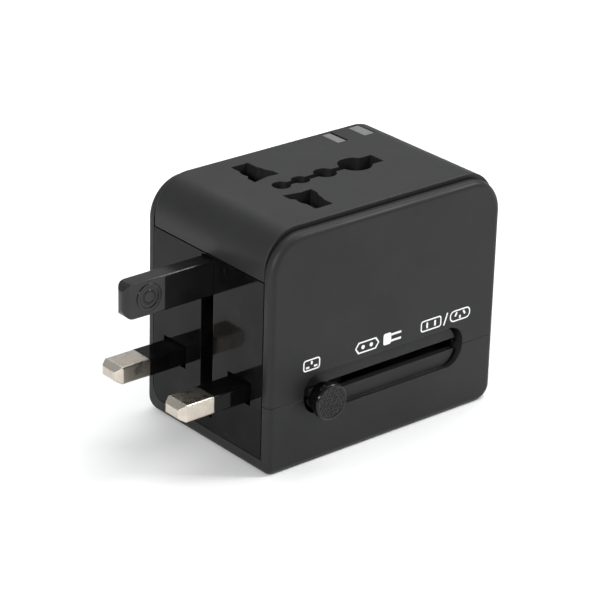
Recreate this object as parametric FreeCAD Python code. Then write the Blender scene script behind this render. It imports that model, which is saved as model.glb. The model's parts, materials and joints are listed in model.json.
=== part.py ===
"""Universal travel adapter: a slide-out UK plug, a slide-out USA/Australia plug, a fold-out Europe
plug and one universal socket, in a two-part casing with a raised socket cover.

Units are millimetres.  The origin is on the base, under the middle of the casing.  +X runs from the
UK face to the USA/Australia face, -Y is the face with the selector knob, and +Z is up to the socket.
"""
import FreeCAD, Part
import math
import os

os.makedirs("parts", exist_ok=True)
V = FreeCAD.Vector

# Casing
LENGTH, WIDTH, HEIGHT = 64.0, 42.4, 54.8
END_X = LENGTH / 2
SIDE_Y = WIDTH / 2
COVER_STEP = 1.1                      # the socket cover stands this much above the casing's rims
RIM_TOP = HEIGHT - COVER_STEP
TOP_CORNER = 8.5
FOOT_CORNER_UK, FOOT_CORNER_US = 1.5, 3.5
SIDE_EDGE = 1.4
REAR_FOOT_EDGE = 5.5
PARTING_Z = 15.8                      # joint between the lower and the upper housing
SEAM = 0.15                           # gap between the two housings
COVER_GAP = 0.3                       # gap around the socket cover and the end panels
BAY_Y = 18.9                          # half width inside the side walls
FLOOR_Z = 2.4
DECK = (29.6, 31.4)                   # floor of the socket chamber, top of the sliding chamber

# Socket cover
COVER_Y = BAY_Y - COVER_GAP
COVER_END_Z = 44.1
COVER_TOP_WALL = 3.4
COVER_END_WALL = 2.2

# End panels
PANEL_WALL = 2.0
PANEL_Z = (3.4, COVER_END_Z - COVER_GAP)
PANEL_CORNER = 3.0
PANEL_INNER_X = END_X - PANEL_WALL

# Plug standards
PIN_Z = 17.0                          # height of every sliding pin
UK_PIN_Y = 22.2 / 2
UK_PIN_WIDE, UK_PIN_THICK, UK_PIN_OUT = 6.35, 4.0, 17.7
UK_SLEEVE_OUT = 9.0
UK_NOSE = (1.6, 0.95)                 # length of the nose, narrowing on each side
UK_SOFT = 0.45                        # rounding of the bare tip's edges
UK_PIN_HOLE = (7.8, 5.3)
UK_EARTH_RISE, UK_EARTH_OUT = 22.2, 22.7
UK_EARTH_TALL, UK_EARTH_WIDE = 8.0, 3.9
EARTH_TAPER = (10.0, 0.35)            # length of the earth pin's tapered end, narrowing on each side
EARTH_TIP_TALL, EARTH_TIP_WIDE = 2.2, 1.3         # corner radii of the tip, from the side and from above
EARTH_SOFT = 0.3
EARTH_BOSS_X, EARTH_BOSS_RADIUS = -48.6, 3.1
EARTH_DISH_RADIUS, EARTH_DISH = 2.4, 0.22
US_BLADE_Y = 12.7 / 2
US_BLADE_TALL, US_BLADE_THICK = 6.35, 1.5
AU_TURN = 30.0
EURO_PIN_RADIUS, EURO_PIN_OUT, EURO_SPACING = 2.4, 19.0, 19.0

# Selector: three stations, one step apart
STEP = 18.0
TRAVEL = 2 * STEP
SLOT_Z = PARTING_Z
SLOT_HALF_TALL = 4.6
SLOT_EXTRA = 0.35                     # the trough reaches this much further above the slit than below it
SLOT_CORNERS = (4.55, 4.2)            # lower and upper
SLOT_DEPTH = 1.1
SLOT_END = (1.4, 3.2)                 # width and depth of the deeper crescent at each end of the trough
SLIT_Z = (SLOT_Z - 1.1, SLOT_Z + 1.6)
SLOT_PAD_INNER_Y = 17.4
KNOB_RADIUS, KNOB_HEAD, KNOB_PROUD = 4.15, 1.6, 4.4
KNOB_SHIFT = (-0.4, -0.4)             # the knob's middle from its stem's, along X and Z
KNOB_NECK_RADIUS = 3.4
KNOB_DISH = (3.55, 0.10)              # radius and depth of the hollow in the knob's face
STEM = (5.0, 1.8)                     # width along X, height along Z
KNOB_PRESS = 1.5

# Sliding carriage
CARRIAGE_Y = 14.8
CARRIAGE_Z = (8.8, 25.2)
CARRIAGE_X = (-29.6, -6.3)
CARRIAGE_BAR_X = -19.8                # the two arms run in front of this, the cross bar behind
CARRIAGE_GAP_Y = 4.4
HUB_RADIUS, HUB_LENGTH = 3.6, 5.0
FLANGE_RADIUS, FLANGE_LENGTH = 4.6, 2.0
RUN = 0.06                            # radial clearance of a turning fit
BLADE_TIP_X = 13.2

# Folding earth pin and its pocket
EARTH_PIVOT = (-27.6, PIN_Z + UK_EARTH_RISE - 0.1)
EARTH_PIVOT_RADIUS = 1.1
POCKET_Y = (2.08, 3.3)                # half width inside and outside
POCKET_BACK_X = (-23.2, -22.2)
POCKET_Z = (6.3, 43.5)

# Folding Europe plug and its recess in the base
EURO_X = (2.0, 28.8)
EURO_Y = (-14.7, 14.3)
EURO_ROOF_Z = (7.4, 8.4)
EURO_WALL = 1.2
EURO_PIVOT = (10.6, 3.75)             # y and z
EURO_HUB_RADIUS = 3.3
EURO_BLOCK_Y, EURO_BLOCK_HALF = 4.7, 2.85
EURO_PIVOT_RADIUS = 1.0

# Universal socket
SOCKET_X = -12.6                      # line through the two live holes
SOCKET_UK_Y, SOCKET_EURO_Y = 11.1, 9.5
SOCKET_FAN = ((-3.45, 4.55), (0.8, 5.45), (3.8, 5.25), (3.75, 7.4), (2.7, 9.6), (-2.3, 8.3), (-3.4, 7.1))
SOCKET_UK_EARTH_X = SOCKET_X + 22.2
EARTH_ROUNDS = ((0.1, 2.1), (5.35, 2.05), (12.15, 2.6), (20.6, 3.85))   # distance from the line, radius
EARTH_NECK = 1.8
INSERT_X, INSERT_Y, INSERT_Z = (-19.6, 15.5), 15.9, (DECK[1], 49.4)
CONTACT_Y = (4.2, 15.2)
CONTACT_HALF_X = 4.5
STRIP = 0.5                           # thickness of sprung brass strip
SHUTTER_Z = (49.8, 51.1)
SHUTTER_X = (-17.3, -8.3)
SHUTTER_Y = (3.6, 15.4)
SHUTTER_BRIDGE = 2.2
SHUTTER_SPRING_Y = 17.2
SPRING_ANCHOR_X = -26.6

# Indicator windows
WINDOW_Y = (11.9, 17.7)
WINDOW_X = ((13.4, 15.8), (21.1, 24.1))
WINDOW_GAP = (0.5, 0.1)               # open gap beside each window, on its USA/Australia side
WINDOW_TOP = HEIGHT - 0.15
BOARD_Z = (43.4, 44.4)
BOARD_X, BOARD_Y = (11.0, 27.0), (10.8, 18.3)

# Fasteners
POST_X, POST_Y, POST_RADIUS = 26.5, 17.0, 1.9
SCREW_RADIUS, SCREW_HEAD_RADIUS = 0.95, 1.7
SCREW_HEAD_Z, SCREW_TIP_Z = (0.7, 1.9), 24.0

BEYOND = 2.0                          # how far a cutting shape runs past what it cuts


def block(x, y, z):
    """A box from three (low, high) spans."""
    size = [high - low for low, high in (x, y, z)]
    return Part.makeBox(size[0], size[1], size[2], V(x[0], y[0], z[0]))


def rod(radius, start, end):
    """A round bar between two points."""
    along = V(*end) - V(*start)
    return Part.makeCylinder(radius, along.Length, V(*start), along)


def join(shapes):
    """One solid from touching shapes."""
    return shapes[0].fuse(shapes[1:]).removeSplitter()


def mirror_y(shape):
    return shape.mirror(V(0, 0, 0), V(0, 1, 0))


def centred(half):
    return (-half, half)


def rounded_face(corners, place):
    """A flat face from (u, v, radius) corners; place(u, v) puts a point in space."""
    points = [FreeCAD.Vector(u, v, 0) for u, v, radius in corners]
    ends = []
    for i, (u, v, radius) in enumerate(corners):
        here = points[i]
        back = (points[i - 1] - here).normalize()
        on = (points[(i + 1) % len(points)] - here).normalize()
        half = back.getAngle(on) / 2
        inward = (back + on).normalize()
        reach = radius / math.tan(half)
        centre = here + inward * (radius / math.sin(half))
        ends.append((here + back * reach, centre - inward * radius, here + on * reach, radius))
    edges = []
    for i, (start, middle, end, radius) in enumerate(ends):
        if radius > 0:
            arc = [place(p.x, p.y) for p in (start, middle, end)]
            edges.append(Part.Arc(*arc).toShape())
        following = ends[(i + 1) % len(ends)][0]
        if (following - end).Length > 1e-6:
            edges.append(Part.makeLine(place(end.x, end.y), place(following.x, following.y)))
    return Part.Face(Part.Wire(edges))


def side_prism(corners, y):
    """An outline in X and Z, run along Y."""
    face = rounded_face(corners, lambda u, v: V(u, y[0], v))
    return face.extrude(V(0, y[1] - y[0], 0))


def end_prism(corners, x):
    """An outline in Y and Z, run along X."""
    face = rounded_face(corners, lambda u, v: V(x[0], u, v))
    return face.extrude(V(x[1] - x[0], 0, 0))


def plan_prism(corners, z):
    """An outline in X and Y, run along Z."""
    face = rounded_face(corners, lambda u, v: V(u, v, z[0]))
    return face.extrude(V(0, 0, z[1] - z[0]))


def rectangle(u, v, radius=0.0):
    return [(u[0], v[0], radius), (u[1], v[0], radius), (u[1], v[1], radius), (u[0], v[1], radius)]


def strip_outline(points, thickness):
    """The outline of a bent strip whose middle line follows the points."""
    sides = ([], [])
    for i, (u, v) in enumerate(points):
        before = points[max(i - 1, 0)]
        after = points[min(i + 1, len(points) - 1)]
        run_in = V(u - before[0], v - before[1], 0) if i else V(after[0] - u, after[1] - v, 0)
        run_out = V(after[0] - u, after[1] - v, 0) if i < len(points) - 1 else run_in
        across = (run_in.normalize() + run_out.normalize()).normalize()
        spread = thickness / 2 / max(math.cos(run_in.getAngle(run_out) / 2), 0.5)
        sides[0].append((u - across.y * spread, v + across.x * spread, 0))
        sides[1].append((u + across.y * spread, v - across.x * spread, 0))
    return sides[0] + sides[1][::-1]


def coil(radius, wire, turns, start, end):
    """A helical spring between two points."""
    along = V(*end) - V(*start)
    height = along.Length - 2 * wire
    helix = Part.makeHelix(height / turns, height, radius)
    section = Part.Wire(Part.makeCircle(wire, V(radius, 0, 0), V(0, 1, 0)))
    spring = Part.Wire(helix.Edges).makePipeShell([section], True, True)
    spring.Placement = FreeCAD.Placement(V(*start) + along.normalize() * wire,
                                         FreeCAD.Rotation(V(0, 0, 1), along))
    return spring


def edges_at(shape, axis, value):
    """The edges that lie wholly in one plane."""
    found = []
    for edge in shape.Edges:
        low = getattr(edge.BoundBox, axis + "Min")
        high = getattr(edge.BoundBox, axis + "Max")
        if abs(low - value) < 1e-4 and abs(high - value) < 1e-4:
            found.append(edge)
    return found


# ---------------------------------------------------------------- casing

def casing_outline():
    return [(-END_X, 0, FOOT_CORNER_UK), (END_X, 0, FOOT_CORNER_US),
            (END_X, RIM_TOP, TOP_CORNER), (-END_X, RIM_TOP, TOP_CORNER)]


def casing_block():
    """The casing's outer form, solid."""
    body = side_prism(casing_outline(), centred(SIDE_Y))
    rims = edges_at(body, "Y", -SIDE_Y) + edges_at(body, "Y", SIDE_Y)
    body = body.makeFillet(SIDE_EDGE, rims)
    heel = block((-END_X - BEYOND, END_X + BEYOND), (SIDE_Y - REAR_FOOT_EDGE, SIDE_Y + BEYOND),
                 (-BEYOND, REAR_FOOT_EDGE))
    turn = rod(REAR_FOOT_EDGE, (-END_X - BEYOND, SIDE_Y - REAR_FOOT_EDGE, REAR_FOOT_EDGE),
               (END_X + BEYOND, SIDE_Y - REAR_FOOT_EDGE, REAR_FOOT_EDGE))
    return body.cut(heel.cut(turn))


def panel_outline(grow):
    """End panel seen along X; its rear foot corner is rounded like the casing's."""
    y, low = COVER_Y + grow, PANEL_Z[0] - grow
    top = PANEL_Z[1] + grow
    return [(-y, low, 0), (y, low, PANEL_CORNER + grow), (y, top, 0), (-y, top, 0)]


def chamber():
    """The space inside the side walls, open at both ends for the panels and above for the cover."""
    ends = end_prism(panel_outline(COVER_GAP), (-END_X - BEYOND, END_X + BEYOND))
    inside = block(centred(PANEL_INNER_X), centred(BAY_Y), (FLOOR_Z, HEIGHT))
    above = block((-END_X - BEYOND, END_X + BEYOND), centred(BAY_Y), (COVER_END_Z - COVER_GAP, HEIGHT))
    return join([ends, inside, above])


def slot_trough(depth):
    """The long recess that the knob runs in."""
    half = STEP + SLOT_HALF_TALL
    low, high = SLOT_Z - SLOT_HALF_TALL, SLOT_Z + SLOT_HALF_TALL + SLOT_EXTRA
    lower, upper = SLOT_CORNERS
    outline = [(-half, low, lower), (half, low, lower), (half, high, upper), (-half, high, upper)]
    return side_prism(outline, (-SIDE_Y - BEYOND, -SIDE_Y + depth))


def slot_end(side):
    """Crescent along one round end of the trough, cut deeper than its floor."""
    kept = slot_trough(SLOT_END[1] + BEYOND)
    kept.translate(V(-side * SLOT_END[0], 0, 0))
    return slot_trough(SLOT_END[1]).cut(kept)


def slot_slit():
    """The narrow way through the trough's floor, and the groove that keeps the stem's plate in."""
    half = STEP + SLOT_HALF_TALL - 0.3
    slit = block(centred(half), (-SIDE_Y - BEYOND, -SLOT_PAD_INNER_Y + BEYOND), SLIT_Z)
    groove = block(centred(STEP + 4.4), (-SLOT_PAD_INNER_Y - 1.0, -SLOT_PAD_INNER_Y + BEYOND),
                   (SLOT_Z - 2.3, SLOT_Z + 2.3))
    return slit.fuse(groove)


def slot_pad():
    return block(centred(STEP + SLOT_HALF_TALL + 1.6), (-SIDE_Y + SLOT_DEPTH, -SLOT_PAD_INNER_Y),
                 (SLOT_Z - SLOT_HALF_TALL - 0.8, SLOT_Z + SLOT_HALF_TALL + 0.8))


def post_places():
    return [(x, y) for x in (-POST_X, POST_X) for y in (-POST_Y, POST_Y)]


def screw(x, y):
    """Casing screw: pan head in its counterbore, shank up the post, cross recess in the head."""
    head = rod(SCREW_HEAD_RADIUS, (x, y, SCREW_HEAD_Z[0]), (x, y, SCREW_HEAD_Z[1]))
    shank = rod(SCREW_RADIUS, (x, y, SCREW_HEAD_Z[1]), (x, y, SCREW_TIP_Z))
    cross = block((x - 1.0, x + 1.0), (y - 0.22, y + 0.22), (SCREW_HEAD_Z[0] - 1, SCREW_HEAD_Z[0] + 0.6))
    other = block((x - 0.22, x + 0.22), (y - 1.0, y + 1.0), (SCREW_HEAD_Z[0] - 1, SCREW_HEAD_Z[0] + 0.6))
    return head.fuse(shank).cut(cross.fuse(other))


def screw_way(x, y):
    bore = rod(SCREW_RADIUS, (x, y, 0), (x, y, SCREW_TIP_Z + 0.5))
    counterbore = rod(SCREW_HEAD_RADIUS, (x, y, -BEYOND), (x, y, SCREW_HEAD_Z[1]))
    return bore.fuse(counterbore)


def euro_recess():
    return block(EURO_X, EURO_Y, (-BEYOND, EURO_ROOF_Z[0]))


def euro_box():
    return block((EURO_X[0] - EURO_WALL, EURO_X[1] + EURO_WALL),
                 (EURO_Y[0] - EURO_WALL, EURO_Y[1] + EURO_WALL), (0, EURO_ROOF_Z[1]))


def casing():
    """Both housings as one hollow body, before it is parted."""
    shell = casing_block().cut(chamber())
    deck = block((POCKET_BACK_X[1] + 1.0, PANEL_INNER_X - 0.5), centred(BAY_Y + 0.5), DECK)
    posts = [rod(POST_RADIUS, (x, y, 1.0), (x, y, DECK[0] + 1.0)) for x, y in post_places()]
    webs = [block((x - 1.0, x + 1.0), sorted((y, math.copysign(BAY_Y + 0.5, y))),
                  (FLOOR_Z - 0.4, DECK[0] + 1)) for x, y in post_places()]
    shell = join([shell, deck, slot_pad(), euro_box()] + posts + webs)
    cuts = [slot_trough(SLOT_DEPTH), slot_slit(), slot_end(-1), slot_end(1), euro_recess()]
    cuts += [screw_way(x, y) for x, y in post_places()]
    cuts += [euro_pivot_pin()] + contact_legs() + [mirror_y(leg) for leg in contact_legs()]
    return shell.cut(cuts)


def lower_housing():
    below = block((-LENGTH, LENGTH), (-WIDTH, WIDTH), (-BEYOND, PARTING_Z - SEAM / 2))
    return casing().common(below)


def upper_housing():
    over = block((-LENGTH, LENGTH), (-WIDTH, WIDTH), (PARTING_Z + SEAM / 2, HEIGHT + BEYOND))
    return casing().common(over)


def casing_screws():
    return Part.makeCompound([screw(x, y) for x, y in post_places()])


# ---------------------------------------------------------------- end panels

def pin_hole(y, wide, tall, x):
    return block(x, (y - wide / 2, y + wide / 2), (PIN_Z - tall / 2, PIN_Z + tall / 2))


def uk_pin_panel():
    """Glossy plate with the two pin holes and the pocket that the earth pin folds into."""
    plate = end_prism(panel_outline(0), (-END_X, -PANEL_INNER_X))
    pocket = block((-PANEL_INNER_X, POCKET_BACK_X[1]), centred(POCKET_Y[1]),
                   (POCKET_Z[0] - 1.0, PANEL_Z[1]))
    slot = block((-END_X - BEYOND, POCKET_BACK_X[0]), centred(POCKET_Y[0]), POCKET_Z)
    through = (-END_X - BEYOND, -PANEL_INNER_X + BEYOND)
    holes = [pin_hole(y, UK_PIN_HOLE[0], UK_PIN_HOLE[1], through) for y in (-UK_PIN_Y, UK_PIN_Y)]
    return join([plate, pocket]).cut([slot, earth_pivot_pin()] + holes)


def blade_way(side):
    """Panel opening that lets a blade through at every angle from upright to its full turn."""
    hole = []
    for part in range(5):
        bar = block((PANEL_INNER_X - BEYOND, END_X + BEYOND), centred(US_BLADE_THICK / 2 + 0.35),
                    centred(US_BLADE_TALL / 2 + 0.35))
        bar.rotate(V(0, 0, 0), V(1, 0, 0), side * AU_TURN * part / 4)
        bar.translate(V(0, side * US_BLADE_Y, PIN_Z))
        hole.append(bar)
    return hole


def us_pin_panel():
    plate = end_prism(panel_outline(0), (PANEL_INNER_X, END_X))
    return plate.cut(blade_way(1) + blade_way(-1))


# ---------------------------------------------------------------- socket cover and windows

def live_hole(z):
    """Openings of four plug standards run together, on the +Y side."""
    uk = block((SOCKET_X - 2.35, SOCKET_X + 2.35), (SOCKET_UK_Y - 3.2, SOCKET_UK_Y + 3.2), z)
    euro = rod(2.85, (SOCKET_X, SOCKET_EURO_Y, z[0]), (SOCKET_X, SOCKET_EURO_Y, z[1]))
    us_and_au = plan_prism([(SOCKET_X + u, v, 0) for u, v in SOCKET_FAN], z)
    return uk.fuse([euro, us_and_au])


def earth_hole(z, grow=0.0):
    """Row of earth openings: three small rounds, a large one and the UK earth slot, joined by necks."""
    far = SOCKET_UK_EARTH_X
    shapes = [block((far - 4.4 - grow, far + 4.8 + grow), centred(2.2 + grow), z)]
    for away, radius in EARTH_ROUNDS:
        x = SOCKET_X + away
        shapes.append(rod(radius + grow, (x, 0, z[0]), (x, 0, z[1])))
    shapes.append(block((SOCKET_X, far), centred(EARTH_NECK / 2 + grow), z))
    return join(shapes)


def cover_outline():
    return [(-END_X, COVER_END_Z, 0), (END_X, COVER_END_Z, 0),
            (END_X, HEIGHT, TOP_CORNER), (-END_X, HEIGHT, TOP_CORNER)]


def cover_inner_outline():
    x, top = END_X - COVER_END_WALL, HEIGHT - COVER_TOP_WALL
    inner = TOP_CORNER - COVER_END_WALL - 0.6
    low = COVER_END_Z - BEYOND
    return [(-x, low, 0), (x, low, 0), (x, top, inner), (-x, top, inner)]


def window_well(span, gap):
    return block((span[0] - 0.1, span[1] + gap), (WINDOW_Y[0] - 0.1, WINDOW_Y[1] + 0.1),
                 (HEIGHT - COVER_TOP_WALL - BEYOND, HEIGHT + BEYOND))


def socket_cover():
    """The raised band over the top and down both ends, with every socket opening in it."""
    band = side_prism(cover_outline(), centred(COVER_Y))
    rims = edges_at(band, "Y", -COVER_Y) + edges_at(band, "Y", COVER_Y)
    rims = [edge for edge in rims if edge.BoundBox.ZMax > COVER_END_Z + 0.01]
    band = band.makeFillet(0.3, rims)
    hollow = side_prism(cover_inner_outline(), centred(SIDE_Y))
    through = (HEIGHT - COVER_TOP_WALL - BEYOND, HEIGHT + BEYOND)
    holes = [live_hole(through), mirror_y(live_hole(through)), earth_hole(through)]
    lugs = [spring_lug(1), spring_lug(-1)]
    wells = [window_well(span, gap) for span, gap in zip(WINDOW_X, WINDOW_GAP)]
    return join([band.cut([hollow] + holes + wells)] + lugs)


def spring_lug(side):
    y = sorted((side * (SHUTTER_SPRING_Y - 1.0), side * (SHUTTER_SPRING_Y + 1.0)))
    return block((SPRING_ANCHOR_X - 1.8, SPRING_ANCHOR_X), y, (48.4, HEIGHT - COVER_TOP_WALL + 0.8))


def indicator_window(span):
    """Light pipe with a flange under the cover."""
    pipe = block(span, WINDOW_Y, (46.2, WINDOW_TOP))
    under = HEIGHT - COVER_TOP_WALL - 0.2
    flange = block((span[0] - 0.8, span[1] + 1.0), (WINDOW_Y[0] - 0.8, WINDOW_Y[1] + 0.3),
                   (under - 0.8, under))
    return pipe.fuse(flange).removeSplitter()


# ---------------------------------------------------------------- socket chamber

def contact_outline():
    """U-shaped clip: a base, two legs that lean in to grip a pin, and flared lips."""
    x = CONTACT_HALF_X
    half = [(x, 33.25), (x, 40.0), (1.9, 45.6), (3.4, 48.3)]
    left = [(SOCKET_X - u, v) for u, v in reversed(half)]
    return strip_outline(left + [(SOCKET_X + u, v) for u, v in half], STRIP)


def contact_legs():
    """Tail of the contact on the +Y side, down through the deck to the bus rail."""
    return [block((SOCKET_X - 1.0, SOCKET_X + 1.0), (9.6, 13.6), (DECK[0], 33.1))]


def contact_line():
    clip = side_prism(contact_outline(), CONTACT_Y)
    return join([clip] + contact_legs())


def contact_cavity():
    x = CONTACT_HALF_X + STRIP
    return block((SOCKET_X - x, SOCKET_X + x), (CONTACT_Y[0] - 0.3, CONTACT_Y[1] + 0.2),
                 (33.0, INSERT_Z[1] + BEYOND))


def socket_insert():
    """Insulating block that holds the contacts apart and leaves wells for earth pins."""
    body = block(INSERT_X, centred(INSERT_Y), INSERT_Z)
    notch = block((BOARD_X[0] - 0.6, INSERT_X[1] + BEYOND), (BOARD_Y[0] - 0.6, INSERT_Y + BEYOND),
                  (BOARD_Z[0], INSERT_Z[1] + BEYOND))
    well = earth_hole((INSERT_Z[0] + 0.6, INSERT_Z[1] + BEYOND), grow=0.2)
    legs = contact_legs()
    cuts = [contact_cavity(), mirror_y(contact_cavity()), notch, well]
    return body.cut(cuts + legs + [mirror_y(leg) for leg in legs])


def bus_rail():
    """Strip under the deck that the carriage's wiper follows."""
    return block((-21.0, PANEL_INNER_X - 0.6), (9.6, 13.6), (DECK[0] - 0.8, DECK[0]))


def shutter_wing():
    wing = block(SHUTTER_X, SHUTTER_Y, SHUTTER_Z)
    lug = block((SHUTTER_X[1] - 1.3, SHUTTER_X[1]), (SHUTTER_Y[1], SHUTTER_SPRING_Y + 1.0), SHUTTER_Z)
    return wing.fuse(lug)


def socket_shutter():
    """Safety shutter: two wings under the live holes, joined by a bridge clear of the earth row."""
    bridge = block((SHUTTER_X[0], SHUTTER_X[0] + SHUTTER_BRIDGE), centred(SHUTTER_Y[0]), SHUTTER_Z)
    return join([shutter_wing(), bridge, mirror_y(shutter_wing())])


def shutter_springs():
    z = sum(SHUTTER_Z) / 2
    ends = (SPRING_ANCHOR_X, SHUTTER_X[1] - 1.3)
    one = coil(0.55, 0.14, 12, (ends[0], SHUTTER_SPRING_Y, z), (ends[1], SHUTTER_SPRING_Y, z))
    return Part.makeCompound([one, mirror_y(one)])


def indicator_board():
    return block(BOARD_X, BOARD_Y, BOARD_Z)


def indicator_leds():
    """One surface-mount lamp under each window."""
    lamps = []
    for span in WINDOW_X:
        x = sum(span) / 2
        lamps.append(block((x - 0.8, x + 0.8), (14.2, 16.4), (BOARD_Z[1], BOARD_Z[1] + 0.8)))
    return Part.makeCompound(lamps)


# ---------------------------------------------------------------- sliding carriage

def carriage_plan():
    """Arms on both sides of the earth pocket, with a cross bar behind them."""
    front, back = CARRIAGE_X
    bar = CARRIAGE_BAR_X
    y, gap = CARRIAGE_Y, CARRIAGE_GAP_Y
    return [(front, -y, 0), (back, -y, 1.0), (back, y, 1.0), (front, y, 0),
            (front, gap, 0), (bar, gap, 0), (bar, -gap, 0), (front, -gap, 0)]


def carriage_cuts():
    """Pockets for the pin tails, the blade hubs, the knob stem and its spring."""
    cuts = [uk_pin_tail(), mirror_y(uk_pin_tail())]
    hub_back = CARRIAGE_X[1] - HUB_LENGTH
    for y in (-US_BLADE_Y, US_BLADE_Y):
        cuts.append(rod(HUB_RADIUS + RUN, (hub_back, y, PIN_Z), (CARRIAGE_X[1] + 1, y, PIN_Z)))
        cuts.append(rod(FLANGE_RADIUS + RUN, (hub_back - FLANGE_LENGTH - 0.05, y, PIN_Z),
                        (hub_back + 0.05, y, PIN_Z)))
    half, tall = STEM[0] / 2 + 0.1, STEM[1] / 2 + 0.1
    cuts.append(block((-STEP - half, -STEP + half), (-CARRIAGE_Y - 1, -10.0),
                      (SLOT_Z - tall, SLOT_Z + tall)))
    cuts.append(rod(0.85, (-STEP, -10.0, SLOT_Z), (-STEP, -6.4, SLOT_Z)))
    cuts += [rod(SCREW_RADIUS, (x, y, 10.0), (x, y, 24.0)) for x, y in carriage_screw_places()]
    return cuts


def carriage_screw_places():
    return [(-17.0, 13.0), (-9.0, 13.0), (-9.0, -13.0)]


def carriage_base():
    lower = plan_prism(carriage_plan(), (CARRIAGE_Z[0], PIN_Z))
    return lower.cut(carriage_cuts())


def carriage_cover():
    upper = plan_prism(carriage_plan(), (PIN_Z, CARRIAGE_Z[1]))
    heads = [rod(1.6, (x, y, CARRIAGE_Z[1] - 1.2), (x, y, CARRIAGE_Z[1] + 1))
             for x, y in carriage_screw_places()]
    return upper.cut(carriage_cuts() + heads)


def carriage_screws():
    screws = []
    for x, y in carriage_screw_places():
        head = rod(1.6, (x, y, CARRIAGE_Z[1] - 1.2), (x, y, CARRIAGE_Z[1] - 0.1))
        screws.append(head.fuse(rod(SCREW_RADIUS, (x, y, 11.0), (x, y, CARRIAGE_Z[1] - 1.2))))
    return Part.makeCompound(screws)


def uk_bar(x, wide, thick):
    return block(x, (UK_PIN_Y - wide / 2, UK_PIN_Y + wide / 2), (PIN_Z - thick / 2, PIN_Z + thick / 2))


def uk_pin_tail():
    return uk_bar((CARRIAGE_X[0] - 0.01, -23.0), UK_PIN_WIDE, UK_PIN_THICK)


def nosed_outline(tip_x, root_x, middle, half, nose, soft):
    """A bar that narrows over its nose; nose is (length, narrowing on each side)."""
    neck_x, low, high = tip_x + nose[0], middle - half, middle + half
    return [(tip_x, low + nose[1], soft), (neck_x, low, 0), (root_x, low, 0),
            (root_x, high, 0), (neck_x, high, 0), (tip_x, high - nose[1], soft)]


def uk_pin_tip():
    """Bare end of a live pin, with a narrowed nose and softened edges."""
    x = (-END_X - UK_PIN_OUT, -END_X - UK_SLEEVE_OUT)
    wide, thick = UK_PIN_WIDE / 2, UK_PIN_THICK / 2
    side = side_prism(nosed_outline(x[0], x[1], PIN_Z, thick, UK_NOSE, UK_SOFT), (0, SIDE_Y))
    plan = plan_prism(nosed_outline(x[0], x[1], UK_PIN_Y, wide, UK_NOSE, UK_SOFT), (0, HEIGHT))
    section = rectangle((UK_PIN_Y - wide, UK_PIN_Y + wide), (PIN_Z - thick, PIN_Z + thick), UK_SOFT)
    return side.common(plan).common(end_prism(section, x))


def uk_pin():
    """Live pin on the +Y side: bare tip, waisted under its sleeve, full tail in the carriage."""
    sleeve_x = -END_X - UK_SLEEVE_OUT
    waist = uk_bar((sleeve_x, CARRIAGE_X[0]), UK_PIN_WIDE - 1.6, UK_PIN_THICK - 1.6)
    tail = uk_bar((CARRIAGE_X[0], -23.0), UK_PIN_WIDE, UK_PIN_THICK)
    return join([uk_pin_tip(), waist, tail])


def uk_sleeve():
    """Insulating sleeve, flush with the bare tip."""
    x = (-END_X - UK_SLEEVE_OUT, CARRIAGE_X[0])
    outer = uk_bar(x, UK_PIN_WIDE, UK_PIN_THICK)
    long_edges = [e for e in outer.Edges if e.BoundBox.XLength > 1]
    outer = outer.makeFillet(0.35, long_edges)
    return outer.cut(uk_bar(x, UK_PIN_WIDE - 1.6, UK_PIN_THICK - 1.6))


def us_blade():
    """Flat blade on the +Y side, tapered at its tip."""
    start = CARRIAGE_X[1] - HUB_LENGTH - FLANGE_LENGTH
    side = [(start, PIN_Z - US_BLADE_TALL / 2, 0), (BLADE_TIP_X, PIN_Z - US_BLADE_TALL / 2, 1.6),
            (BLADE_TIP_X, PIN_Z + US_BLADE_TALL / 2, 1.6), (start, PIN_Z + US_BLADE_TALL / 2, 0)]
    y = US_BLADE_Y
    blade = side_prism(side, (y - US_BLADE_THICK / 2, y + US_BLADE_THICK / 2))
    flat = [e for e in edges_at(blade, "X", BLADE_TIP_X) if e.BoundBox.ZLength > 1]
    return blade.makeChamfer(0.4, flat)


def blade_hub():
    """Plastic boss moulded on the blade; it turns in the carriage."""
    y, back = US_BLADE_Y, CARRIAGE_X[1] - HUB_LENGTH
    hub = rod(HUB_RADIUS, (back, y, PIN_Z), (CARRIAGE_X[1], y, PIN_Z))
    flange = rod(FLANGE_RADIUS, (back - FLANGE_LENGTH, y, PIN_Z), (back, y, PIN_Z))
    return join([hub, flange]).cut(us_blade())


def wiper():
    """Sprung strip on the carriage's roof, just under its bus rail."""
    roof, rail = CARRIAGE_Z[1], DECK[0] - 0.8
    rise = rail - 0.3 - STRIP / 2
    path = [(-19.0, roof + STRIP / 2), (-15.0, roof + STRIP / 2), (-12.6, rise), (-11.4, rise),
            (-9.4, roof + 1.2)]
    return side_prism(strip_outline(path, STRIP), (9.9, 12.0))


# ---------------------------------------------------------------- knob

def knob_rod(radius, start_y, end_y):
    x, z = -STEP + KNOB_SHIFT[0], SLOT_Z + KNOB_SHIFT[1]
    return rod(radius, (x, start_y, z), (x, end_y, z))


def knob_cap():
    """Round push knob: a thin dished head on a narrower neck that reaches the trough's floor."""
    front = -SIDE_Y - KNOB_PROUD
    head = knob_rod(KNOB_RADIUS, front, front + KNOB_HEAD)
    head = head.makeFillet(0.55, edges_at(head, "Y", front))
    dish = knob_rod(KNOB_DISH[0], front - 1, front + KNOB_DISH[1])
    neck = knob_rod(KNOB_NECK_RADIUS, front + KNOB_HEAD, -SIDE_Y + SLOT_DEPTH - KNOB_PRESS - 0.2)
    return join([head, neck]).cut([knob_stem(), dish])


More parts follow.
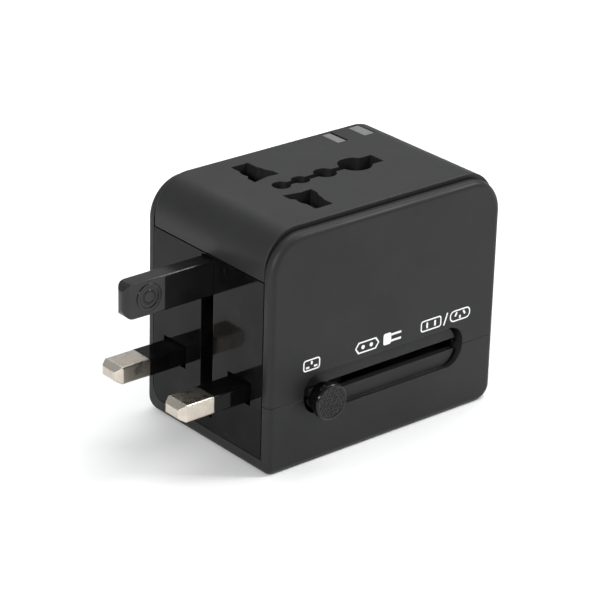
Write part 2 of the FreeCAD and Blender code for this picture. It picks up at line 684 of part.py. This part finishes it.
def knob_stem():
    """Flat bar from inside the knob to the carriage, with a plate that can't pass the slit."""
    x = (-STEP - STEM[0] / 2, -STEP + STEM[0] / 2)
    z = (SLOT_Z - STEM[1] / 2, SLOT_Z + STEM[1] / 2)
    bar = block(x, (-24.2, -12.0), z)
    plate = block((-STEP - 3.8, -STEP + 3.8), (-SLOT_PAD_INNER_Y - 0.9, -SLOT_PAD_INNER_Y),
                  (SLOT_Z - 2.0, SLOT_Z + 2.0))
    nose = rod(0.35, (-STEP, -12.0, SLOT_Z), (-STEP, -9.4, SLOT_Z))
    return join([bar, plate, nose])


def knob_spring():
    return coil(0.6, 0.13, 7, (-STEP, -12.0, SLOT_Z), (-STEP, -6.4, SLOT_Z))


# ---------------------------------------------------------------- folding earth pin

def earth_pin():
    """Plastic earth pin, round at its pivot and tapered to its tip, with a dished boss on each side."""
    x, z = EARTH_PIVOT
    half, wide = UK_EARTH_TALL / 2, UK_EARTH_WIDE / 2
    heel = rod(half, (x, -wide, z), (x, wide, z))
    boss = rod(EARTH_BOSS_RADIUS, (EARTH_BOSS_X, -wide, z), (EARTH_BOSS_X, wide, z))
    bore = rod(EARTH_PIVOT_RADIUS + RUN, (x, -WIDTH, z), (x, WIDTH, z))
    return join([earth_bar(), heel, boss]).cut([bore, earth_dish(-1), earth_dish(1)])


def earth_bar():
    """The earth pin from its pivot to its tip, without the boss."""
    x, z = EARTH_PIVOT
    half, wide = UK_EARTH_TALL / 2, UK_EARTH_WIDE / 2
    tip = -END_X - UK_EARTH_OUT
    side = side_prism([(tip, z - half, EARTH_TIP_TALL), (x, z - half, 0), (x, z + half, 0),
                       (tip, z + half, EARTH_TIP_TALL)], centred(wide))
    plan = plan_prism(nosed_outline(tip, x, 0, wide, EARTH_TAPER, EARTH_TIP_WIDE), (0, HEIGHT))
    section = end_prism(rectangle(centred(wide), (z - half, z + half), EARTH_SOFT), (tip, x))
    return side.common(plan).common(section)


def earth_dish(side):
    """Hollow in the boss on one side of the earth pin."""
    face = side * UK_EARTH_WIDE / 2
    z = EARTH_PIVOT[1]
    return rod(EARTH_DISH_RADIUS, (EARTH_BOSS_X, face + side, z), (EARTH_BOSS_X, face - side * EARTH_DISH, z))


def earth_pivot_pin():
    x, z = EARTH_PIVOT
    return rod(EARTH_PIVOT_RADIUS, (x, -POCKET_Y[1], z), (x, POCKET_Y[1], z))


# ---------------------------------------------------------------- folding Europe plug

def euro_pin_x():
    middle = sum(EURO_X) / 2
    return (middle - EURO_SPACING / 2, middle + EURO_SPACING / 2)


def euro_pin(x):
    """Round pin with a rounded tip; its root is held in the frame."""
    y, z = EURO_BLOCK_Y, EURO_PIVOT[1]
    tip = y - EURO_PIN_OUT
    pin = rod(EURO_PIN_RADIUS, (x, tip, z), (x, y, z))
    pin = pin.makeFillet(1.4, edges_at(pin, "Y", tip))
    root = rod(EURO_PIN_RADIUS - 0.9, (x, y, z), (x, y + 3.6, z))
    return join([pin, root])


def euro_frame():
    """Bar that carries the two round pins and folds out of the base."""
    x = (EURO_X[0] + 0.4, EURO_X[1] - 0.4)
    y, z = EURO_PIVOT
    hub = rod(EURO_HUB_RADIUS, (x[0], y, z), (x[1], y, z))
    bar = block(x, (EURO_BLOCK_Y, y), (z - EURO_BLOCK_HALF, z + EURO_BLOCK_HALF))
    bore = rod(EURO_PIVOT_RADIUS + RUN, (x[0] - 1, y, z), (x[1] + 1, y, z))
    return join([hub, bar]).cut([bore] + [euro_pin(at) for at in euro_pin_x()])


def euro_pivot_pin():
    y, z = EURO_PIVOT
    return rod(EURO_PIVOT_RADIUS, (EURO_X[0] - EURO_WALL + 0.2, y, z), (EURO_X[1] + EURO_WALL - 0.2, y, z))


# ---------------------------------------------------------------- output

def sub_parts():
    """Every piece, as node name and shape."""
    yield "lower_housing", lower_housing()
    yield "upper_housing", upper_housing()
    yield "casing_screws", casing_screws()
    yield "socket_cover", socket_cover()
    yield "uk_pin_panel", uk_pin_panel()
    yield "us_pin_panel", us_pin_panel()
    yield "indicator_window_inner", indicator_window(WINDOW_X[0])
    yield "indicator_window_outer", indicator_window(WINDOW_X[1])
    yield "indicator_board", indicator_board()
    yield "indicator_leds", indicator_leds()
    yield "socket_insert", socket_insert()
    yield "socket_contact_line", mirror_y(contact_line())
    yield "socket_contact_neutral", contact_line()
    yield "bus_rail_line", mirror_y(bus_rail())
    yield "bus_rail_neutral", bus_rail()
    yield "socket_shutter", socket_shutter()
    yield "shutter_springs", shutter_springs()
    yield "carriage_base", carriage_base()
    yield "carriage_cover", carriage_cover()
    yield "carriage_screws", carriage_screws()
    yield "uk_pin_line", mirror_y(uk_pin())
    yield "uk_pin_neutral", uk_pin()
    yield "uk_sleeve_line", mirror_y(uk_sleeve())
    yield "uk_sleeve_neutral", uk_sleeve()
    yield "wiper_line", mirror_y(wiper())
    yield "wiper_neutral", wiper()
    yield "us_blade_line", mirror_y(us_blade())
    yield "us_blade_neutral", us_blade()
    yield "blade_hub_line", mirror_y(blade_hub())
    yield "blade_hub_neutral", blade_hub()
    yield "knob_cap", knob_cap()
    yield "knob_stem", knob_stem()
    yield "knob_spring", knob_spring()
    yield "earth_pin", earth_pin()
    yield "earth_pivot_pin", earth_pivot_pin()
    yield "euro_frame", euro_frame()
    yield "euro_pin_left", euro_pin(euro_pin_x()[0])
    yield "euro_pin_right", euro_pin(euro_pin_x()[1])
    yield "euro_pivot_pin", euro_pivot_pin()


for name, shape in sub_parts():
    shape.exportStep("parts/" + name + ".step")
    box = shape.BoundBox
    print(f"{name:24s} solids {len(shape.Solids)} valid {shape.isValid()} volume {shape.Volume:9.2f}"
          f"  x {box.XMin:7.2f} {box.XMax:7.2f}  y {box.YMin:7.2f} {box.YMax:7.2f}"
          f"  z {box.ZMin:7.2f} {box.ZMax:7.2f}")
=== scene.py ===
import json
import math
import random

import bmesh
import bpy
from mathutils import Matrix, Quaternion, Vector


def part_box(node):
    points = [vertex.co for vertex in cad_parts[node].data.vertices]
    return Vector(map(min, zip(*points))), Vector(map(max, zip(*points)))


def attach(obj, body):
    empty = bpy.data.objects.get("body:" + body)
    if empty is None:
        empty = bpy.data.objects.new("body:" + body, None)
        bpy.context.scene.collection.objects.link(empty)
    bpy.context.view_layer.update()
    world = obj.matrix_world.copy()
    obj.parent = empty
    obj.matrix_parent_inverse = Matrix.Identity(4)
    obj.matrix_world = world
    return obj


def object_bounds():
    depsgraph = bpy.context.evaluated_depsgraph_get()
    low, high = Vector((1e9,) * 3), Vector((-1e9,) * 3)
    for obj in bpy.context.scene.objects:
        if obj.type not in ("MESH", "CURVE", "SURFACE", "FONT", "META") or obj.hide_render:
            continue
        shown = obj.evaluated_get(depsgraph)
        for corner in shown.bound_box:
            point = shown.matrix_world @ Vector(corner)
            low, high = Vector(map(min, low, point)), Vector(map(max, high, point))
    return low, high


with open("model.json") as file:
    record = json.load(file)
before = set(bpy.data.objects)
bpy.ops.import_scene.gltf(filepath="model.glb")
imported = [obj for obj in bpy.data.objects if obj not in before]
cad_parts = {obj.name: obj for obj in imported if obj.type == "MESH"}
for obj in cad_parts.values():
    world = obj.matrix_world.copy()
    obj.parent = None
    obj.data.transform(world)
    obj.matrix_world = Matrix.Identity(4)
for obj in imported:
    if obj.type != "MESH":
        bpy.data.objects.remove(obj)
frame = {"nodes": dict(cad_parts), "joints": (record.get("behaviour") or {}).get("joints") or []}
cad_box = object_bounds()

MM = 0.001
nodes = frame["nodes"]

# Places that the frame gives
FACE_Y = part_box("upper_housing")[0].y                 # face with the selector
KNOB_FRONT_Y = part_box("knob_cap")[0].y
KNOB_X, KNOB_Z = [sum(corner[axis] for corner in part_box("knob_cap")) / 2 for axis in (0, 2)]
STEM_X, STEM_Z = [sum(corner[axis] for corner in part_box("knob_stem")) / 2 for axis in (0, 2)]
TRAVEL = next(j for j in frame["joints"] if j["name"] == "carriage_slide")["range_m"][1]
STATION_X = [STEM_X, STEM_X + TRAVEL / 2, STEM_X + TRAVEL]

# Printed marks, one per station: where each sits from its station, and the height that all share
MARK_SHIFT = (-2.7 * MM, -2.15 * MM, -0.8 * MM)
MARK_RISE = 7.45 * MM                                 # above the knob stem
MARK_TALL = 2.7 * MM
MARK_STROKE = 0.32 * MM
INK = 0.02 * MM                                       # how far the print stands off the face
INK_ROOT = 0.03 * MM                                  # how far it reaches into the face

# Knob grip
GRIP_RADIUS = 3.4 * MM
GRIP_PITCH = 0.86 * MM
GRIP_SINK = 0.10 * MM                                 # depth of the hollow that the pimples stand in
PIMPLE_RADIUS = 0.36 * MM
PIMPLE_STRAY = 0.12 * MM                              # how far a pimple may stand from its place in the row
PIMPLE_SIDES = 10
PIMPLE_PROFILE = ((1.0, -0.3), (1.0, 0.0), (0.86, 0.5), (0.55, 0.85), (0.2, 1.0))    # share of radius, height

# Ring moulded in the dish on the earth pin's near side
EARTH_TIP_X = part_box("earth_pin")[0].x
EARTH_Z = sum(corner.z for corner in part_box("earth_pin")) / 2
RING_FROM_TIP = 6.1 * MM
RING_Y = -1.73 * MM                                   # floor of the dish
RING_RADIUS = 1.4 * MM
RING_HALF = (0.22 * MM, 0.12 * MM)                    # across the band, and out of the floor
RING_STEPS = (48, 10)                                 # round the ring, and round its band

# Camera
CAMERA_AIM = Vector((2.23, 10.23, 20.35)) * MM
CAMERA_AWAY = 0.61426
CAMERA_AZIMUTH, CAMERA_ELEVATION, CAMERA_ROLL = -40.281, 24.431, 1.608
CAMERA_LENS, CAMERA_SENSOR = 165.69, 36.0
CAMERA_CLIP = (0.01, 20)

# Studio: name, place, size and watts of each light
LIGHTS = (("overhead", (0.35, 0.30, 1.05), 1.0, 8.6),
          ("key", (0.72, -0.50, 0.80), 0.32, 7.5),
          ("side", (-1.03, -0.30, 0.54), 0.26, 9.5))
SKY_COLOUR, SKY_STRENGTH = (0.97, 0.985, 1.0, 1), 0.52
FLOOR_RADIUS = 4.0
FLOOR_DROP = 0.05 * MM                                # how far the floor lies under the base

# Finishes
# Painted shade: base colour is darkened towards black in the node's own gaps and holes up to this wide.
PAINTED_SHADE_REACH = 2.0 * MM                              # moulded gaps and holes up to this wide look darker
RUB_SMOOTHING = 0.12                                  # how much smoother a rubbed edge is
SCRATCH_SHARE = 0.35                                  # how strongly scratches and dust show


# ---------------------------------------------------------------- finishes

class Finish:
    """One material, with short calls to build its nodes.  Sizes are in metres on the object."""

    def __init__(self, name):
        self.material = bpy.data.materials.new(name)
        self.material.use_nodes = True
        self.tree = self.material.node_tree
        self.shader = self.tree.nodes["Principled BSDF"]
        self.place = self.node("ShaderNodeTexCoord").outputs["Object"]

    def node(self, kind, **settings):
        made = self.tree.nodes.new(kind)
        for key, value in settings.items():
            setattr(made, key, value)
        return made

    def feed(self, socket, value):
        if isinstance(value, bpy.types.NodeSocket):
            self.tree.links.new(value, socket)
        else:
            socket.default_value = value

    def set(self, **values):
        """Constant or linked values on the shader's own sockets."""
        for key, value in values.items():
            self.feed(self.shader.inputs[key.replace("_", " ")], value)

    def maths(self, operation, a, b=0.0):
        made = self.node("ShaderNodeMath", operation=operation)
        self.feed(made.inputs[0], a)
        self.feed(made.inputs[1], b)
        return made.outputs[0]

    def noise(self, size, detail=2.0, along=(1, 1, 1), shift=0.0):
        """Soft blotches about `size` across, drawn out by `along`."""
        mapping = self.node("ShaderNodeMapping")
        mapping.inputs["Location"].default_value = (shift, shift, shift)
        mapping.inputs["Scale"].default_value = [1 / (size * a) for a in along]
        self.feed(mapping.inputs["Vector"], self.place)
        made = self.node("ShaderNodeTexNoise")
        made.inputs["Scale"].default_value = 1.0
        made.inputs["Detail"].default_value = detail
        self.feed(made.inputs["Vector"], mapping.outputs[0])
        return made.outputs["Fac"]

    def between(self, factor, low, high, start=0.3, end=0.7):
        """A value that runs from low to high while factor runs from start to end."""
        made = self.node("ShaderNodeMapRange")
        for socket, value in zip(made.inputs[0:5], (factor, start, end, low, high)):
            self.feed(socket, value)
        return made.outputs[0]

    def mix(self, factor, a, b):
        made = self.node("ShaderNodeMix", data_type="RGBA")
        self.feed(made.inputs[0], factor)
        self.feed(made.inputs[6], a)
        self.feed(made.inputs[7], b)
        return made.outputs[2]

    def edges(self, radius):
        """(softened normal, 0 to 1 mask that is 1 on the sharp edges)."""
        soft = self.node("ShaderNodeBevel", samples=6)
        soft.inputs["Radius"].default_value = radius
        flat = self.node("ShaderNodeNewGeometry").outputs["Normal"]
        dot = self.node("ShaderNodeVectorMath", operation="DOT_PRODUCT")
        self.feed(dot.inputs[0], soft.outputs[0])
        self.feed(dot.inputs[1], flat)
        away = self.maths("SUBTRACT", 1.0, dot.outputs["Value"])
        return soft.outputs[0], self.between(away, 0.0, 1.0, 0.01, 0.2)

    def painted_gap_shade(self, reach):
        """Painted shade: 1 on open faces, falling towards 0 in the node's own gaps and holes narrower than
        `reach`.
        """
        made = self.node("ShaderNodeAmbientOcclusion", samples=8, only_local=True)
        made.inputs["Distance"].default_value = reach
        return self.between(made.outputs["AO"], 0.1, 1.0, 0.15, 0.62)

    def bump(self, height, depth, normal=None):
        made = self.node("ShaderNodeBump")
        made.inputs["Distance"].default_value = depth
        self.feed(made.inputs["Height"], height)
        if normal is not None:
            self.feed(made.inputs["Normal"], normal)
        return made.outputs[0]


def grey(value):
    return (value, value, value, 1)


def moulded(name, dark, light, rough, grain, grain_depth, edge, worn, shine):
    """Moulded plastic: mottled colour, fine grain, edges rubbed lighter and smoother, and painted shade that
    darkens its gaps.
    """
    f = Finish(name)
    soft, mask = f.edges(edge)
    mottle = f.noise(3.2 * MM, detail=3.0)
    handling = f.noise(14 * MM, shift=3.1)
    rub = f.maths("MULTIPLY", mask, f.between(f.noise(0.9 * MM, shift=7.7), 0.25, 1.0))
    colour = f.mix(rub, f.mix(mottle, grey(dark), grey(light)), grey(worn))
    # Painted shade: the base colour is blended towards black in the node's own gaps and holes.
    gap_shade_factor = f.painted_gap_shade(PAINTED_SHADE_REACH)
    f.set(Base_Color=f.mix(gap_shade_factor, grey(0.0), colour), Specular_IOR_Level=shine)
    even = f.between(handling, rough[0], rough[1])
    f.set(Roughness=f.maths("SUBTRACT", even, f.maths("MULTIPLY", rub, RUB_SMOOTHING)))
    fine = f.bump(f.noise(grain, detail=3.0), grain_depth, soft)
    f.set(Normal=f.bump(f.noise(2.5 * MM, shift=1.3), 0.006 * MM, fine))
    return f.material


def soft_charcoal():
    return moulded("soft_charcoal", 0.0104, 0.0143, (0.42, 0.52), 0.22 * MM, 0.012 * MM, 0.22 * MM,
                   worn=0.035, shine=0.24)


def knob_satin():
    return moulded("knob_satin", 0.0008, 0.0020, (0.10, 0.15), 0.18 * MM, 0.002 * MM, 0.50 * MM,
                   worn=0.003, shine=0.34)


def grip_satin():
    return moulded("grip_satin", 0.0030, 0.0050, (0.13, 0.18), 0.18 * MM, 0.003 * MM, 0.10 * MM,
                   worn=0.006, shine=0.22)


def inner_nylon():
    return moulded("inner_nylon", 0.03, 0.045, (0.40, 0.55), 0.5 * MM, 0.012 * MM, 0.15 * MM,
                   worn=0.06, shine=0.5)


def polished(name, base, rough, edge=0.15 * MM):
    """Gloss black plastic: slow ripples from moulding, smudges, hairline scratches and a little dust."""
    f = Finish(name)
    soft, mask = f.edges(edge)
    hair = f.noise(0.05 * MM, detail=1.0, along=(1, 60, 14), shift=2.0)
    other = f.noise(0.05 * MM, detail=1.0, along=(1, 9, 80), shift=5.0)
    scratch = f.between(f.maths("MAXIMUM", hair, other), 0.0, 1.0, 0.72, 0.8)
    dust = f.between(f.noise(0.11 * MM, detail=0.0, shift=9.0), 0.0, 1.0, 0.80, 0.86)
    marks = f.maths("MAXIMUM", f.maths("MULTIPLY", scratch, SCRATCH_SHARE), dust)
    smudge = f.between(f.noise(7 * MM, detail=2.0, shift=11.0), 0.0, 1.0, 0.40, 0.80)
    skin = f.mix(smudge, grey(base), grey(base + 0.005))
    f.set(Base_Color=f.mix(f.maths("MULTIPLY", marks, SCRATCH_SHARE), skin, grey(0.10)))
    smear = f.between(f.noise(5 * MM, shift=4.0), rough[0], rough[1])
    rubbed = f.maths("ADD", smear, f.maths("MULTIPLY", mask, 0.10))
    f.set(Roughness=f.maths("ADD", rubbed, f.maths("MULTIPLY", marks, 0.10)))
    f.set(Normal=f.bump(f.noise(7 * MM, detail=1.0, shift=6.0), 0.010 * MM, soft))
    return f


def gloss_black():
    f = polished("gloss_black", 0.002, (0.045, 0.10))
    f.set(Specular_IOR_Level=0.12)
    return f.material


def smoked_plastic():
    f = polished("smoked_plastic", 0.005, (0.10, 0.17))
    f.set(Specular_IOR_Level=0.38)
    return f.material


def metal(name, bright, dull, rough, along, worn, edge=0.15 * MM):
    """Bare metal with fine lines along one way, duller patches and edges worn through the plating."""
    f = Finish(name)
    soft, mask = f.edges(edge)
    lines = f.noise(0.06 * MM, detail=3.0, along=along)
    patch = f.noise(2.2 * MM, detail=4.0, shift=2.0)
    pits = f.between(f.noise(0.16 * MM, detail=2.0, shift=8.0), 0.0, 1.0, 0.66, 0.80)
    colour = f.mix(f.between(patch, 0.0, 1.0), bright, dull)
    rub = f.maths("MULTIPLY", mask, f.between(f.noise(0.5 * MM, shift=5.0), 0.1, 0.8))
    f.set(Base_Color=f.mix(rub, colour, worn), Metallic=1.0)
    uneven = f.between(f.maths("ADD", patch, f.maths("MULTIPLY", lines, 0.5)), rough[0], rough[1], 0.5, 1.0)
    f.set(Roughness=f.maths("ADD", uneven, f.maths("MULTIPLY", pits, 0.12)))
    brushed = f.bump(lines, 0.0016 * MM, soft)
    f.set(Normal=f.bump(pits, -0.004 * MM, brushed))
    return f.material


def pin_metal():
    return metal("pin_metal", (0.59, 0.54, 0.47, 1), (0.51, 0.46, 0.40, 1), (0.21, 0.36), (40, 1, 1),
                 (0.70, 0.63, 0.52, 1), edge=0.38 * MM)


def contact_brass():
    return metal("contact_brass", (0.80, 0.60, 0.30, 1), (0.58, 0.41, 0.20, 1), (0.22, 0.36), (1, 30, 1),
                 (0.88, 0.70, 0.40, 1))


def bright_steel():
    return metal("bright_steel", (0.62, 0.62, 0.63, 1), (0.45, 0.45, 0.46, 1), (0.20, 0.34), (1, 1, 25),
                 (0.75, 0.75, 0.76, 1))


def window_frost():
    f = Finish("window_frost")
    soft, mask = f.edges(0.15 * MM)
    cloud = f.noise(0.7 * MM, detail=3.0)
    f.set(Base_Color=f.mix(cloud, grey(0.14), grey(0.20)), Transmission_Weight=0.25, IOR=1.49)
    f.set(Roughness=f.between(f.noise(0.3 * MM, shift=3.0), 0.34, 0.5))
    f.set(Normal=f.bump(f.noise(0.12 * MM, detail=2.0), 0.01 * MM, soft))
    return f.material


def board_green():
    f = Finish("board_green")
    weave = f.noise(0.25 * MM, detail=1.0, along=(6, 1, 1))
    f.set(Base_Color=f.mix(weave, (0.010, 0.075, 0.035, 1), (0.018, 0.11, 0.05, 1)), Roughness=0.35)
    f.set(Normal=f.bump(weave, 0.01 * MM))
    return f.material


def lamp_resin():
    f = Finish("lamp_resin")
    cloud = f.noise(0.3 * MM)
    f.set(Base_Color=f.mix(cloud, (0.75, 0.70, 0.45, 1), (0.9, 0.88, 0.7, 1)))
    f.set(Roughness=f.between(cloud, 0.2, 0.35))
    return f.material


def label_ink():
    """White pad print: nearly opaque, with a few thin spots and a soft matt skin."""
    f = Finish("label_ink")
    thin = f.between(f.noise(0.12 * MM, detail=2.0), 0.0, 1.0, 0.62, 0.75)
    f.set(Base_Color=f.mix(thin, grey(0.80), grey(0.62)))
    f.set(Roughness=f.between(f.noise(0.4 * MM, shift=2.0), 0.42, 0.6))
    f.set(Normal=f.bump(f.noise(0.08 * MM), 0.004 * MM))
    return f.material


def floor_finish():
    f = Finish("studio_floor")
    f.set(Base_Color=f.mix(f.noise(0.5), grey(0.86), grey(0.88)), Roughness=0.9)
    return f.material


FINISHES = {make.__name__: make() for make in (
    soft_charcoal, gloss_black, smoked_plastic, pin_metal, contact_brass, bright_steel, inner_nylon,
    window_frost, board_green, lamp_resin, label_ink, knob_satin, grip_satin)}
OWN_FINISH = {"knob_cap": "knob_satin"}               # nodes whose finish differs from their slot's


def dress_nodes():
    """Every CAD node takes the finish of its slot."""
    for name, node in nodes.items():
        slot = node.data.materials[0].name.split(".")[0]
        for material_slot in node.material_slots:
            material_slot.material = FINISHES[OWN_FINISH.get(name, slot)]


# ---------------------------------------------------------------- mesh helpers

def piece(name, mesh, body, finish):
    """A finished mesh as a named piece that rides on a CAD body."""
    made = bpy.data.meshes.new(name)
    bmesh.ops.recalc_face_normals(mesh, faces=mesh.faces)
    mesh.to_mesh(made)
    mesh.free()
    made.materials.append(FINISHES[finish])
    item = bpy.data.objects.new(name, made)
    bpy.context.scene.collection.objects.link(item)
    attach(item, body)
    return item


def rounded(wide, tall, radius, steps=5):
    """Outline of a rounded rectangle about the origin, as (u, v) points."""
    points = []
    for corner, (sx, sy) in enumerate(((1, 1), (-1, 1), (-1, -1), (1, -1))):
        centre = (sx * (wide / 2 - radius), sy * (tall / 2 - radius))
        for step in range(steps + 1):
            angle = math.radians(90 * (corner + step / steps))
            points.append((centre[0] + radius * math.cos(angle), centre[1] + radius * math.sin(angle)))
    return points


def moved(points, u=0.0, v=0.0, turn=0.0):
    c, s = math.cos(math.radians(turn)), math.sin(math.radians(turn))
    return [(u + a * c - b * s, v + a * s + b * c) for a, b in points]


def printed(mesh, outer, inner=None):
    """A flat printed shape on the selector face; with an inner outline it is a closed band."""
    levels = (FACE_Y - INK, FACE_Y + INK_ROOT)
    rings = [[mesh.verts.new((u, y, v)) for u, v in outline] for outline in (outer, inner) if outline
             for y in levels]
    front, back = rings[0], rings[1]
    count = len(front)
    for i in range(count):
        j = (i + 1) % count
        mesh.faces.new((front[i], front[j], back[j], back[i]))
        if inner:
            mesh.faces.new((rings[2][i], rings[2][j], rings[3][j], rings[3][i]))
            mesh.faces.new((front[i], front[j], rings[2][j], rings[2][i]))
            mesh.faces.new((back[i], back[j], rings[3][j], rings[3][i]))
    if not inner:
        mesh.faces.new(front)
        mesh.faces.new(back)


# ---------------------------------------------------------------- printed marks

def bar_mark(mesh, u, v, wide, tall, turn=0.0):
    printed(mesh, moved(rounded(wide, tall, min(wide, tall) * 0.3), u, v, turn))


def face_mark(mesh, u, v, wide, corner):
    """Outline of a plug's face."""
    inner = (wide - 2 * MARK_STROKE, MARK_TALL - 2 * MARK_STROKE)
    printed(mesh, moved(rounded(wide, MARK_TALL, corner), u, v),
            moved(rounded(inner[0], inner[1], max(corner - MARK_STROKE, 0.1 * MM)), u, v))


def mark_uk(mesh, u, v):
    """Plug face with an upright earth slot over two level ones."""
    face_mark(mesh, u, v, 4.6 * MM, 0.7 * MM)
    bar_mark(mesh, u, v + 0.45 * MM, 0.5 * MM, 0.8 * MM)
    for side in (-1, 1):
        bar_mark(mesh, u + side * 1.1 * MM, v - 0.5 * MM, 0.95 * MM, 0.45 * MM)


def mark_europe(mesh, u, v):
    """Flat six-sided plug face with two round pins; beside it the same plug from the side."""
    tall = MARK_TALL / 2
    outer = [(-3.4, 0), (-2.5, -1), (2.5, -1), (3.4, 0), (2.5, 1), (-2.5, 1)]
    left = u - 3.2 * MM
    face = [(a * MM, b * tall) for a, b in outer]
    hole = [(a * MM * (1 - MARK_STROKE / (2.9 * MM)), b * (tall - MARK_STROKE)) for a, b in outer]
    printed(mesh, moved(face, left, v), moved(hole, left, v))
    for side in (-1, 1):
        printed(mesh, moved(rounded(0.95 * MM, 0.95 * MM, 0.474 * MM, steps=6), left + side * 1.15 * MM, v))
        bar_mark(mesh, u + 5.0 * MM, v + side * 0.72 * MM, 2.9 * MM, 0.5 * MM)
    printed(mesh, moved(rounded(2.2 * MM, MARK_TALL, 0.5 * MM), u + 2.5 * MM, v))


def mark_usa_australia(mesh, u, v):
    """Face with two upright blades, a stroke, then a face with two leaning blades over an upright one."""
    left, right = u - 4.25 * MM, u + 4.25 * MM
    face_mark(mesh, left, v, 6.0 * MM, 0.7 * MM)
    face_mark(mesh, right, v, 6.0 * MM, 1.2 * MM)
    for side in (-1, 1):
        bar_mark(mesh, left + side * 1.15 * MM, v, 0.5 * MM, 1.35 * MM)
        bar_mark(mesh, right + side * 1.2 * MM, v + 0.3 * MM, 0.48 * MM, 1.05 * MM, turn=side * 30)
    bar_mark(mesh, right, v - 0.5 * MM, 0.48 * MM, 0.75 * MM)
    bar_mark(mesh, u, v, 0.38 * MM, MARK_TALL * 1.1, turn=-20)


def printed_marks():
    draw = {"label_uk": mark_uk, "label_europe": mark_europe, "label_usa_australia": mark_usa_australia}
    for (name, mark), station, shift in zip(draw.items(), STATION_X, MARK_SHIFT):
        mesh = bmesh.new()
        mark(mesh, station + shift, STEM_Z + MARK_RISE)
        piece(name, mesh, "casing", "label_ink")


# ---------------------------------------------------------------- knob grip

def pimple(mesh, x, z, floor_y, radius, height):
    """A low rounded stud, closed, with its root just inside the knob."""
    rings = []
    for share, rise in PIMPLE_PROFILE:
        ring = []
        for i in range(PIMPLE_SIDES):
            angle = 2 * math.pi * i / PIMPLE_SIDES
            ring.append(mesh.verts.new((x + radius * share * math.cos(angle), floor_y - rise * height,
                                        z + radius * share * math.sin(angle))))
        rings.append(ring)
    for low, high in zip(rings, rings[1:]):
        for i in range(PIMPLE_SIDES):
            j = (i + 1) % PIMPLE_SIDES
            mesh.faces.new((low[i], low[j], high[j], high[i]))
    mesh.faces.new(rings[0])
    mesh.faces.new(rings[-1])


def knob_grip():
    """Pimples in staggered rows over the hollow in the knob's face."""
    draws = random.Random(7)
    mesh = bmesh.new()
    floor_y = KNOB_FRONT_Y + GRIP_SINK
    rows = int(GRIP_RADIUS / GRIP_PITCH) + 1
    for row in range(-rows, rows + 1):
        z = row * GRIP_PITCH * math.sqrt(3) / 2
        for column in range(-rows, rows + 1):
            x = (column + (row % 2) / 2) * GRIP_PITCH
            aside, up, wider, taller = [draws.uniform(-1, 1) for _ in range(4)]
            if math.hypot(x, z) > GRIP_RADIUS - PIMPLE_RADIUS / 2:
                continue
            pimple(mesh, KNOB_X + x + aside * PIMPLE_STRAY, KNOB_Z + z + up * PIMPLE_STRAY, floor_y,
                   PIMPLE_RADIUS * (1 + 0.16 * wider), GRIP_SINK * (0.72 + 0.25 * taller))
    item = piece("knob_grip", mesh, "knob", "grip_satin")
    item.data.shade_smooth()


# ---------------------------------------------------------------- earth pin ring

def earth_ring():
    """A low rounded band, closed, with its lower half inside the pin."""
    mesh = bmesh.new()
    around, across = RING_STEPS
    rings = []
    for i in range(around):
        angle = 2 * math.pi * i / around
        ring = []
        for j in range(across):
            turn = 2 * math.pi * j / across
            away = RING_RADIUS + RING_HALF[0] * math.cos(turn)
            ring.append(mesh.verts.new((EARTH_TIP_X + RING_FROM_TIP + away * math.cos(angle),
                                        RING_Y - RING_HALF[1] * math.sin(turn),
                                        EARTH_Z + away * math.sin(angle))))
        rings.append(ring)
    for i, ring in enumerate(rings):
        following = rings[(i + 1) % around]
        for j in range(across):
            k = (j + 1) % across
            mesh.faces.new((ring[j], ring[k], following[k], following[j]))
    item = piece("earth_pin_ring", mesh, "earth", "smoked_plastic")
    item.data.shade_smooth()


# ---------------------------------------------------------------- studio

def studio_floor():
    mesh = bmesh.new()
    bmesh.ops.create_circle(mesh, cap_ends=True, segments=96, radius=FLOOR_RADIUS)
    made = bpy.data.meshes.new("studio_floor")
    mesh.to_mesh(made)
    mesh.free()
    made.materials.append(floor_finish())
    floor = bpy.data.objects.new("studio_floor", made)
    floor.location.z = cad_box[0].z - FLOOR_DROP
    bpy.context.scene.collection.objects.link(floor)


def soft_light(name, place, size, energy):
    """A square area light that faces the object."""
    data = bpy.data.lights.new(name, "AREA")
    data.size = size
    data.energy = energy
    light = bpy.data.objects.new(name, data)
    light.location = place
    light.rotation_mode = "QUATERNION"
    light.rotation_quaternion = (CAMERA_AIM - Vector(place)).to_track_quat("-Z", "Y")
    bpy.context.scene.collection.objects.link(light)


def studio_world():
    world = bpy.data.worlds.new("studio_world")
    world.use_nodes = True
    background = world.node_tree.nodes["Background"]
    background.inputs["Color"].default_value = SKY_COLOUR
    background.inputs["Strength"].default_value = SKY_STRENGTH
    bpy.context.scene.world = world


def camera():
    azimuth, elevation = math.radians(CAMERA_AZIMUTH), math.radians(CAMERA_ELEVATION)
    back = Vector((math.sin(azimuth) * math.cos(elevation), -math.cos(azimuth) * math.cos(elevation),
                   math.sin(elevation)))
    data = bpy.data.cameras.new("camera")
    data.lens = CAMERA_LENS
    data.sensor_width = CAMERA_SENSOR
    data.clip_start, data.clip_end = CAMERA_CLIP
    item = bpy.data.objects.new("camera", data)
    item.location = CAMERA_AIM + back * CAMERA_AWAY
    item.rotation_mode = "QUATERNION"
    level = (-back).to_track_quat("-Z", "Y")
    item.rotation_quaternion = Quaternion(back, math.radians(CAMERA_ROLL)) @ level
    bpy.context.scene.collection.objects.link(item)
    bpy.context.scene.camera = item


dress_nodes()
printed_marks()
knob_grip()
earth_ring()
studio_floor()
studio_world()
for light in LIGHTS:
    soft_light(*light)
camera()
bpy.context.scene.view_settings.view_transform = "Standard"
